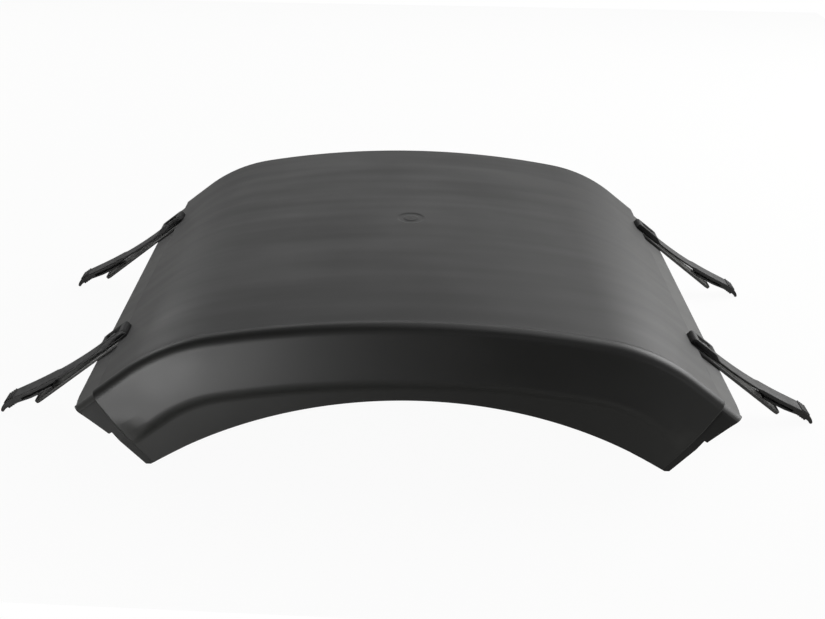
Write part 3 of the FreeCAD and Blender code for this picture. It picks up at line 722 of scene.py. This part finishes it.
def through_tree(source, tree, values, name):
    """Runs a tree on an object and keeps the result as a plain mesh object."""
    modifier = source.modifiers.new("tree", "NODES")
    modifier.node_group = tree
    for item in tree.interface.items_tree:
        if item.item_type == "SOCKET" and item.in_out == "INPUT" and item.name in values:
            modifier[item.identifier] = values[item.name]
    bpy.context.view_layer.update()
    seen = source.evaluated_get(bpy.context.evaluated_depsgraph_get())
    mesh = bpy.data.meshes.new_from_object(seen)
    mesh.name = name
    source.modifiers.remove(modifier)
    plain = source.data
    source.data = mesh
    source.name = name
    bpy.data.meshes.remove(plain)
    return source


def settle(piece, slot, *nodes):
    """Puts a finished piece on the body and in place of its CAD nodes."""
    piece.data.shade_smooth()
    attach(piece, "root")
    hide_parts(*nodes)


# Details of the straps, in millimetres and degrees, from the joggle along the side
STRAP_OUTER = 149.0
STRAP_INNER = 547.0
LUG_OVERLAP = 14.0
LUG_LENGTH = 44.0
LUG_HEIGHT = 9.0
LUG_ROUND = 4.0
NECK_RUN = 8.0
BLADE_LIFT = 1.4
BLADE_THICK = 3.0
BLADE_RADIUS = 640.0
BLADE_TURN = 11.2
BODY_START = 76.0
BODY_TAPER = 6.0
BODY_THICK = 4.5
BODY_LIFT = 1.0
GRIP_START = 148.0
GRIP_LENGTH = 11.5
GRIP_THICK = 8.5
GRIP_DROP = 9.0
NOSE_RUN = 15.6
NOSE_TURN = 37.0
NOSE_THICK = 4.8
RIB_FIRST = 1.6
HOOK_ROOT = 136.0
HOOK_LENGTH = 47.0
HOOK_THICK = 3.4
THROAT = 2.4
POCKET_LENGTH = 28.0
POCKET_WIDTH = 17.0
POCKET_DEPTH = 4.0
STRAP_EDGE = 1.1
TONGUE_REACH = 164.0
TONGUE_GAP = 0.4
TONGUE_RIM = 3.0
TONGUE_DISH = 0.8
TONGUE_EDGE = 0.8
TONGUE_CORNER = 12.0
TONGUE_FIRST_STOP = 34.0
RIVET_PLACE = 12.0
RIVET_HEAD = 7.0
RIVET_RIM = 0.5
RIVET_DOME = 1.9
RIVET_SHANK = 3.0
TAIL_HEAD = 5.0
TAIL_RIM = 0.6
TAIL_DOME = 1.6
WASHER_BORE = 3.2
WASHER_OUTER = 8.5
WASHER_THICK = 1.5
WASHER_EDGE = 0.3
# Stops of a quarter turn, in degrees, for small rounds
QUARTER = (0, 22, 45, 68, 90)


def seats(sizes):
    """Name, place in millimetres and turn of the four strap seats, at the joggle."""
    shape = Moulding(sizes)
    x, z, slope = shape.line.at(shape.line.half)
    found = []
    for row, inset in (("outer", STRAP_OUTER), ("inner", STRAP_INNER)):
        for hand, side in HANDS:
            turn = Matrix.Rotation(float(slope), 3, "Y")
            if side < 0:
                turn = Matrix.Rotation(math.pi, 3, "Z") @ turn
            spot = Vector((side * float(x), inset - shape.middle, float(z)))
            found.append(("%s_%s" % (row, hand), spot, turn))
    return found


class StrapOutline:
    """Side view of a strap: (along, height) with the joggle's deck edge at zero."""

    def __init__(self):
        self.neck = np.array([LUG_LENGTH - LUG_OVERLAP + NECK_RUN, BLADE_LIFT + BLADE_THICK])
        self.turn = math.radians(BLADE_TURN)
        self.hub = self.neck + np.array([0, BLADE_RADIUS])
        self.tilt = self.turn - math.radians(GRIP_DROP)

    def along(self, run, depth):
        """Point at a run from the neck along the strap's top, and a depth below it."""
        angle = min(run / BLADE_RADIUS, self.turn)
        rest = max(run - BLADE_RADIUS * self.turn, 0)
        across = np.array([math.sin(angle), -math.cos(angle)])
        return (self.hub + across * (BLADE_RADIUS + depth)
                + np.array([math.cos(angle), math.sin(angle)]) * rest)

    def sweep(self, first, last, depth, step=4.0):
        """Points at a depth below the strap's top, from one run to another."""
        count = max(2, int(abs(last - first) / step) + 1)
        return [self.along(run, depth) for run in np.linspace(first, last, count)]

    def grip(self):
        """Start of the grip, its direction and the direction through its thickness."""
        ahead = np.array([math.cos(self.tilt), math.sin(self.tilt)])
        down = np.array([math.sin(self.tilt), -math.cos(self.tilt)])
        return self.along(GRIP_START, -BODY_LIFT), ahead, down

    def nose(self, share, depth):
        """Point of the nose, a share of its turn from the grip and a depth below its top."""
        grip, ahead, down = self.grip()
        curl = math.radians(NOSE_TURN)
        radius = NOSE_RUN / curl
        angle = self.tilt - curl * share
        spoke = np.array([math.sin(angle), -math.cos(angle)])
        return grip + ahead * GRIP_LENGTH + down * radius - spoke * (radius - depth)

    def points(self):
        """Closed outline; the lug's top has the points that the recess lowers."""
        heel = -LUG_OVERLAP
        toe = LUG_LENGTH - LUG_OVERLAP
        # Lug: under it, up its heel and over its top, with the recess's edges
        line = [np.array([stop, 0.0]) for stop in (toe, toe - 10, heel + 10, heel)]
        line += [np.array([heel, height]) for height in (1.0, 3.0)]
        for swing in np.radians(QUARTER):
            line.append(np.array([heel + LUG_ROUND * (1 - math.cos(swing)),
                                  LUG_HEIGHT - LUG_ROUND * (1 - math.sin(swing))]))
        middle = LUG_LENGTH / 2 - LUG_OVERLAP
        first = middle - POCKET_LENGTH / 2
        last = middle + POCKET_LENGTH / 2
        stops = [first - 1, first, first + 0.7]
        stops += list(np.linspace(first + 4, last - 4, 6))
        stops += [last - 0.7, last]
        line += [np.array([stop, LUG_HEIGHT]) for stop in stops]
        line.append(np.array([toe - LUG_ROUND + 1.6, LUG_HEIGHT - 0.3]))
        brow = np.array([toe - LUG_ROUND, LUG_HEIGHT])
        line += [brow * (1 - share) + self.neck * share for share in (0.4, 0.65, 0.9)]
        # Top of the blade, the body, the grip and the nose
        line += self.sweep(3, BODY_START - 2, 0)
        line += self.sweep(BODY_START + BODY_TAPER - 2, GRIP_START - 2, -BODY_LIFT)
        grip, ahead, down = self.grip()
        line += [grip + ahead * run for run in np.linspace(1.0, GRIP_LENGTH - 1, 5)]
        line += [self.nose(share, 0) for share in (0.1, 0.3, 0.5, 0.7, 0.9)]
        end = self.tilt - math.radians(NOSE_TURN)
        front = np.array([math.cos(end), math.sin(end)]) * NOSE_THICK / 2
        for swing in np.radians([20, 45, 70, 90, 110, 135, 160]):
            line.append(self.nose(1, NOSE_THICK / 2 * (1 - math.cos(swing))) + front * math.sin(swing))
        # Back along the undersides: nose, grip, hook, body and blade
        for share in (0.9, 0.7, 0.5, 0.3, 0.1):
            line.append(self.nose(share, NOSE_THICK * share + GRIP_THICK * (1 - share)))
        under = grip + down * GRIP_THICK
        line += [under + ahead * run for run in np.linspace(GRIP_LENGTH - 1, GRIP_THICK / 2, 4)]
        bar = BODY_THICK + THROAT
        keel = bar + HOOK_THICK
        nose = HOOK_ROOT - HOOK_LENGTH
        line += self.sweep(BLADE_RADIUS * self.turn, nose, keel)
        line.append(self.along(nose - HOOK_THICK * 0.36, keel - HOOK_THICK * 0.15))
        line.append(self.along(nose - HOOK_THICK * 0.5, keel - HOOK_THICK * 0.5))
        line.append(self.along(nose - HOOK_THICK * 0.36, bar + HOOK_THICK * 0.15))
        line += self.sweep(nose, HOOK_ROOT, bar)
        line.append(self.along(HOOK_ROOT + THROAT * 0.5, BODY_THICK + THROAT / 2))
        line += self.sweep(HOOK_ROOT, BODY_START + BODY_TAPER, BODY_THICK)
        line += self.sweep(BODY_START, 0, BLADE_THICK)
        return np.array(line)


def inset_outline(line, depth):
    """The outline drawn in along its own normals."""
    before = np.roll(line, 1, 0)
    after = np.roll(line, -1, 0)
    edge = after - before
    edge /= np.linalg.norm(edge, axis=1)[:, None]
    normal = np.stack([edge[:, 1], -edge[:, 0]], 1)
    return line + normal * depth


def band_faces(count, rings, closed=False):
    """Faces between neighbouring rings of points; closed also joins the last ring to the first."""
    faces = []
    for step in range(rings if closed else rings - 1):
        after = (step + 1) % rings
        for place in range(count):
            other = (place + 1) % count
            faces.append((step * count + place, step * count + other,
                          after * count + other, after * count + place))
    return faces


def outward_object(name, points, faces, merge=True):
    """Mesh object with its doubles merged, or its many-sided ends split, and its faces pointing out."""
    made = mesh_object(name, points, faces)
    shape = bmesh.new()
    shape.from_mesh(made.data)
    if merge:
        bmesh.ops.remove_doubles(shape, verts=shape.verts[:], dist=1e-6)
    else:
        bmesh.ops.triangulate(shape, faces=[face for face in shape.faces if len(face.verts) > 4])
    bmesh.ops.recalc_face_normals(shape, faces=shape.faces[:])
    shape.to_mesh(made.data)
    shape.free()
    return made


def strap_mesh(sizes, name, spot, turn):
    """Strap as slices of its outline, rounded at both flanks, with the recess sunk in the lug."""
    outline = StrapOutline().points()
    half = sizes.strap_width / MM / 2
    slices = []
    for swing in np.radians(QUARTER):
        slices.append((-half + STRAP_EDGE * (1 - math.cos(swing)),
                       STRAP_EDGE * (1 - math.sin(swing)), 0.0))
    pocket = POCKET_WIDTH / 2
    slices += [(-pocket - 0.5, 0.0, 0.0), (-pocket, 0.0, 0.12), (-pocket + 0.6, 0.0, 1.0)]
    slices = slices + [(0.0, 0.0, 1.0)] + [(-y, inset, sunk) for y, inset, sunk in slices[::-1]]
    centre = LUG_LENGTH / 2 - LUG_OVERLAP
    on_top = outline[:, 1] > LUG_HEIGHT - 0.01
    on_top &= np.abs(outline[:, 0] - centre) < POCKET_LENGTH / 2 - 0.5
    points = []
    for y, inset, sunk in slices:
        ring = inset_outline(outline, inset)
        ring[:, 1] -= np.where(on_top, sunk * POCKET_DEPTH, 0)
        points += [(place[0], y, place[1]) for place in ring]
    count = len(outline)
    faces = band_faces(count, len(slices))
    faces.append(tuple(range(count))[::-1])
    faces.append(tuple((len(slices) - 1) * count + place for place in range(count)))
    points = [(turn @ Vector(point) + spot) * MM for point in points]
    return outward_object(name, points, faces, merge=False)


def tongue_mesh(sizes, name, spot, turn, joggle):
    """Flat tongue with round end corners, soft edges and a shallow dish between two rims."""
    half = sizes.tongue_width / MM / 2
    line = [(TONGUE_GAP, -half), (TONGUE_GAP + 1.0, -half)]
    stops = np.linspace(TONGUE_FIRST_STOP, TONGUE_REACH - TONGUE_CORNER, 10)
    line += [(stop, -half) for stop in stops]
    for swing in np.radians([15, 30, 45, 60, 75, 90]):
        line.append((TONGUE_REACH - TONGUE_CORNER * (1 - math.sin(swing)),
                     -half + TONGUE_CORNER * (1 - math.cos(swing))))
    line = np.array(line + [(x, -y) for x, y in line[::-1]])
    # Rings as (inset, height): up the rounded edge, over the rim and down into the dish
    rings = []
    for swing in np.radians([0, 45, 90]):
        rings.append((TONGUE_EDGE * (1 - math.sin(swing)), -joggle + TONGUE_EDGE * (1 - math.cos(swing))))
    for swing in np.radians([90, 45, 0]):
        rings.append((TONGUE_EDGE * (1 - math.sin(swing)), -TONGUE_EDGE * (1 - math.cos(swing))))
    rings += [(TONGUE_RIM - 0.6, 0.0), (TONGUE_RIM - 0.1, -0.2), (TONGUE_RIM + 0.5, -TONGUE_DISH)]
    points = []
    for inset, height in rings:
        ring = inset_outline(line, -inset)
        ring[:, 0] = np.maximum(ring[:, 0], TONGUE_GAP)
        points += [(x, y, height) for x, y in ring]
    count = len(line)
    faces = band_faces(count, len(rings))
    for step in (0, len(rings) - 1):
        start = step * count
        for place in range(count // 2 - 1):
            faces.append((start + place, start + place + 1,
                          start + count - 2 - place, start + count - 1 - place))
    points = [(turn @ Vector(point) + spot) * MM for point in points]
    return outward_object(name, points, faces)


def turned_form(name, profile, around=40):
    """Form turned about Z from a profile of (radius, height) in millimetres."""
    points = []
    for radius, height in profile:
        for place in range(around):
            angle = 2 * math.pi * place / around
            points.append((radius * math.cos(angle) * MM, radius * math.sin(angle) * MM, height * MM))
    faces = band_faces(around, len(profile), closed=profile[0][0] > 0)
    return outward_object(name, points, faces)


def seat_points(name, places):
    """Loose points in millimetres, each with the turn of what stands on it."""
    made = mesh_object(name, [place * MM for place, _ in places], [])
    turns = made.data.attributes.new("turn", "FLOAT_VECTOR", "POINT")
    for item, (_, turn) in zip(turns.data, places):
        item.vector = turn.to_euler()
    return made


def drop_form(form):
    """Removes a form that was only copied from."""
    mesh = form.data
    bpy.data.objects.remove(form)
    bpy.data.meshes.remove(mesh)


class FENDER_OT_moulding(bpy.types.Operator):
    """Builds the moulding: a straight blank of its section, laid over the arch"""

    bl_idname = "fender.moulding"
    bl_label = "Moulding"

    def execute(self, context):
        sizes = context.scene.fender_sizes
        shape = Moulding(sizes)
        reach = shape.line.half + shape.strip + 20
        runs = np.linspace(-reach, reach, 1201)
        x, z, _ = shape.line.at(runs)
        curve = bpy.data.curves.new("arch_line", "CURVE")
        curve.dimensions = "3D"
        spline = curve.splines.new("POLY")
        spline.points.add(len(runs) - 1)
        for point, px, pz in zip(spline.points, x, z):
            point.co = (px * MM, 0, pz * MM, 1)
        line = bpy.data.objects.new("arch_line", curve)
        context.scene.collection.objects.link(line)
        points, faces = shape.blank()
        blank = mesh_object("fender_blank", points, faces)
        material = polypropylene(context.scene.fender_finish)
        values = {"Arch line": line, "Half length": reach * MM, "Finish": material}
        piece = through_tree(blank, arch_tree(reach * MM), values, "fender_moulding")
        bpy.data.objects.remove(line)
        bpy.data.curves.remove(curve)
        settle(piece, "moulded_plastic", "fender_shell")
        return {"FINISHED"}


class FENDER_OT_straps(bpy.types.Operator):
    """Builds the four rubber straps and the ribs of their grips"""

    bl_idname = "fender.straps"
    bl_label = "Straps"

    def execute(self, context):
        sizes = context.scene.fender_sizes
        material = strap_rubber(context.scene.fender_finish)
        grip, ahead, down = StrapOutline().grip()
        tilt = Matrix.Rotation(-math.atan2(ahead[1], ahead[0]), 3, "Y")
        rows = []
        for name, spot, turn in seats(sizes):
            piece = strap_mesh(sizes, "rubber_strap_" + name, spot, turn)
            piece.data.materials.append(material)
            settle(piece, "strap_rubber", "strap_" + name)
            for depth in (0.0, GRIP_THICK):
                start = grip + ahead * RIB_FIRST + down * depth
                rows.append((turn @ Vector((start[0], 0, start[1])) + spot, turn @ tilt))
        radius = sizes.rib_radius / MM
        half = sizes.strap_width / MM / 2
        profile = [(0, -half + 0.4), (radius * 0.7, -half + 0.6), (radius, -half + 1.2)]
        profile += [(across, -height) for across, height in profile[::-1]]
        bar = turned_form("rib_bar", profile, 14)
        bar.data.transform(Matrix.Rotation(math.pi / 2, 4, "X"))
        points = seat_points("grip_ribs", rows)
        values = {"Form": bar, "Row count": sizes.rib_count, "Row pitch": sizes.rib_pitch,
                  "Finish": material}
        ribs = through_tree(points, seat_tree(), values, "grip_ribs")
        drop_form(bar)
        ribs.data.shade_smooth()
        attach(ribs, "root")
        return {"FINISHED"}


class FENDER_OT_tongues(bpy.types.Operator):
    """Builds the four smooth plastic tongues under the straps"""

    bl_idname = "fender.tongues"
    bl_label = "Tongues"

    def execute(self, context):
        sizes = context.scene.fender_sizes
        material = tongue_plastic(context.scene.fender_finish)
        for name, spot, turn in seats(sizes):
            piece = tongue_mesh(sizes, "plastic_tongue_" + name, spot, turn, sizes.joggle / MM)
            piece.data.materials.append(material)
            settle(piece, "tongue_plastic", "tongue_" + name)
        return {"FINISHED"}


class FENDER_OT_rivets(bpy.types.Operator):
    """Builds the four domed rivets and their washers"""

    bl_idname = "fender.rivets"
    bl_label = "Rivets"

    def execute(self, context):
        sizes = context.scene.fender_sizes
        material = coated_steel(context.scene.fender_finish)
        # Heights over the deck: the head's seat in the lug's recess, and the washer's two faces
        seat = LUG_HEIGHT - POCKET_DEPTH
        upper = -sizes.joggle / MM - sizes.wall / MM
        under = upper - WASHER_THICK
        profile = [(TAIL_HEAD * math.sin(a), under - TAIL_RIM - TAIL_DOME * math.cos(a))
                   for a in np.radians([0, 25, 50, 75, 90])]
        profile += [(TAIL_HEAD, under), (RIVET_SHANK, under), (RIVET_SHANK, seat), (RIVET_HEAD, seat)]
        profile += [(RIVET_HEAD * math.cos(a), seat + RIVET_RIM + RIVET_DOME * math.sin(a))
                    for a in np.radians([0, 18, 36, 54, 72, 90])]
        rivet = turned_form("rivet_form", profile)
        soft = WASHER_OUTER - WASHER_EDGE
        washer = turned_form("washer_form", [
            (WASHER_BORE, under), (soft, under), (WASHER_OUTER, under + WASHER_EDGE),
            (WASHER_OUTER, upper - WASHER_EDGE), (soft, upper), (WASHER_BORE, upper)])
        tree = seat_tree()
        names = [name for name, _, _ in seats(sizes)]
        places = [(turn @ Vector((RIVET_PLACE, 0, 0)) + spot, turn) for _, spot, turn in seats(sizes)]
        for form, label in ((rivet, "rivet"), (washer, "washer")):
            points = seat_points(label + "_set", places)
            values = {"Form": form, "Row count": 1, "Row pitch": 0.0, "Finish": material}
            piece = through_tree(points, tree, values, label + "_set")
            settle(piece, "rivet_metal", *["%s_%s" % (label, name) for name in names])
            drop_form(form)
        return {"FINISHED"}


# Pale floor, in metres
FLOOR_CORNERS = ((-1.5, -0.5, 0), (1.5, -0.64, 0), (1.5, 2.6, 0), (-1.5, 2.6, 0))
# Softboxes: name, place, aim and size in metres, and power in watts
SOFTBOXES = (
    ("left_softbox", (-0.68, -1.1, 0.1), (-0.37, -0.33, 0.1), (0.4, 0.3), 8.0),
    ("right_front_softbox", (1.3, -1.35, 0.25), (0.4, -0.33, 0.1), (0.9, 0.7), 2.5),
    ("front_softbox", (0.6, -2.3, 1.9), (0.0, 0.0, 0.2), (2.8, 1.0), 5.0),
    ("back_softbox", (0.3, 2.3, 1.25), (0.0, 0.0, 0.2), (3.8, 1.1), 18.0),
    ("top_softbox", (0.5, 0.4, 2.2), (0.1, 0.0, 0.2), (1.8, 1.4), 10.0),
    ("left_back_softbox", (-2.2, 1.9, 1.3), (-0.3, 0.1, 0.14), (1.0, 1.0), 18.0),
    ("right_softbox", (2.3, 0.95, 1.3), (0.3, 0.0, 0.12), (2.2, 1.6), 84.0),
)
# Light that the room itself sends to the object
ROOM_LIGHT = 0.03
# Camera: place in metres, angles, and focal length in pixels of a picture that many pixels wide
CAMERA_PLACE = (-0.0119, -1.4515, 0.8318)
CAMERA_PITCH = math.radians(27.298)
CAMERA_YAW = math.radians(0.657)
CAMERA_ROLL = math.radians(1.224)
FOCAL_PIXELS = 1083.8
PICTURE_WIDTH = 825
SENSOR_WIDTH = 36.0


def softbox(name, place, aim, size, power):
    """Rectangular soft light that faces its aim."""
    lamp = bpy.data.lights.new(name, "AREA")
    lamp.shape = "RECTANGLE"
    lamp.size, lamp.size_y = size
    lamp.energy = power
    stand = bpy.data.objects.new(name, lamp)
    stand.location = place
    stand.rotation_euler = (Vector(aim) - Vector(place)).to_track_quat("-Z", "Y").to_euler()
    return stand


def studio_world():
    """Room that the camera sees as white and that lights the object only a little."""
    world = bpy.data.worlds.new("studio")
    world.use_nodes = True
    tree = world.node_tree
    tree.nodes.clear()
    path = node(tree, "ShaderNodeLightPath")
    seen = node(tree, "ShaderNodeMath",
                {0: path.outputs["Is Camera Ray"], 1: path.outputs["Is Transmission Ray"]},
                operation="MAXIMUM")
    dim = node(tree, "ShaderNodeBackground", {"Color": (1, 1, 1, 1), "Strength": ROOM_LIGHT})
    white = node(tree, "ShaderNodeBackground", {"Color": (1, 1, 1, 1), "Strength": 1.0})
    mixed = node(tree, "ShaderNodeMixShader",
                 {0: seen.outputs[0], 1: dim.outputs[0], 2: white.outputs[0]})
    node(tree, "ShaderNodeOutputWorld", {"Surface": mixed.outputs[0]})
    return world


def photo_camera():
    """Camera at the photograph's viewing angle."""
    camera = bpy.data.cameras.new("photo_camera")
    camera.sensor_fit = "HORIZONTAL"
    camera.sensor_width = SENSOR_WIDTH
    camera.lens = FOCAL_PIXELS * SENSOR_WIDTH / PICTURE_WIDTH
    camera.clip_end = 50
    level = math.cos(CAMERA_PITCH)
    ahead = Vector((math.sin(CAMERA_YAW) * level, math.cos(CAMERA_YAW) * level, -math.sin(CAMERA_PITCH)))
    right = Vector((math.cos(CAMERA_YAW), -math.sin(CAMERA_YAW), 0))
    up = right.cross(ahead)
    side = right * math.cos(CAMERA_ROLL) + up * math.sin(CAMERA_ROLL)
    raised = up * math.cos(CAMERA_ROLL) - right * math.sin(CAMERA_ROLL)
    turn = Matrix((side, raised, -ahead)).transposed()
    stand = bpy.data.objects.new("photo_camera", camera)
    stand.matrix_world = Matrix.Translation(CAMERA_PLACE) @ turn.to_4x4()
    return stand


class FENDER_OT_stage(bpy.types.Operator):
    """Sets the pale floor, the soft lights and the camera"""

    bl_idname = "fender.stage"
    bl_label = "Stage"

    def execute(self, context):
        scene = context.scene
        floor = mesh_object("floor", FLOOR_CORNERS, [(0, 1, 2, 3)])
        floor.data.materials.append(studio_floor(scene.fender_finish))
        for settings in SOFTBOXES:
            scene.collection.objects.link(softbox(*settings))
        scene.world = studio_world()
        scene.view_settings.view_transform = "Standard"
        stand = photo_camera()
        scene.collection.objects.link(stand)
        scene.camera = stand
        return {"FINISHED"}


class FENDER_PT_panel(bpy.types.Panel):
    """Lists the steps that build the fender"""

    bl_idname = "FENDER_PT_panel"
    bl_label = "Wheel fender"
    bl_space_type = "VIEW_3D"
    bl_region_type = "UI"
    bl_category = "Fender"

    def draw(self, context):
        for step in STEPS:
            self.layout.operator(step.bl_idname)
        for group in (context.scene.fender_sizes, context.scene.fender_finish):
            for key in group.bl_rna.properties.keys():
                if key not in ("rna_type", "name"):
                    self.layout.prop(group, key)


STEPS = (FENDER_OT_moulding, FENDER_OT_straps, FENDER_OT_tongues, FENDER_OT_rivets, FENDER_OT_stage)
CLASSES = (FenderSizes, FenderFinish) + STEPS + (FENDER_PT_panel,)


def register():
    for kind in CLASSES:
        bpy.utils.register_class(kind)
    bpy.types.Scene.fender_sizes = bpy.props.PointerProperty(type=FenderSizes)
    bpy.types.Scene.fender_finish = bpy.props.PointerProperty(type=FenderFinish)


def unregister():
    del bpy.types.Scene.fender_finish
    del bpy.types.Scene.fender_sizes
    for kind in reversed(CLASSES):
        bpy.utils.unregister_class(kind)


def main():
    register()
    bpy.ops.fender.moulding()
    bpy.ops.fender.straps()
    bpy.ops.fender.tongues()
    bpy.ops.fender.rivets()
    bpy.ops.fender.stage()
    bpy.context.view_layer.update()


if __name__ == "__main__":
    main()
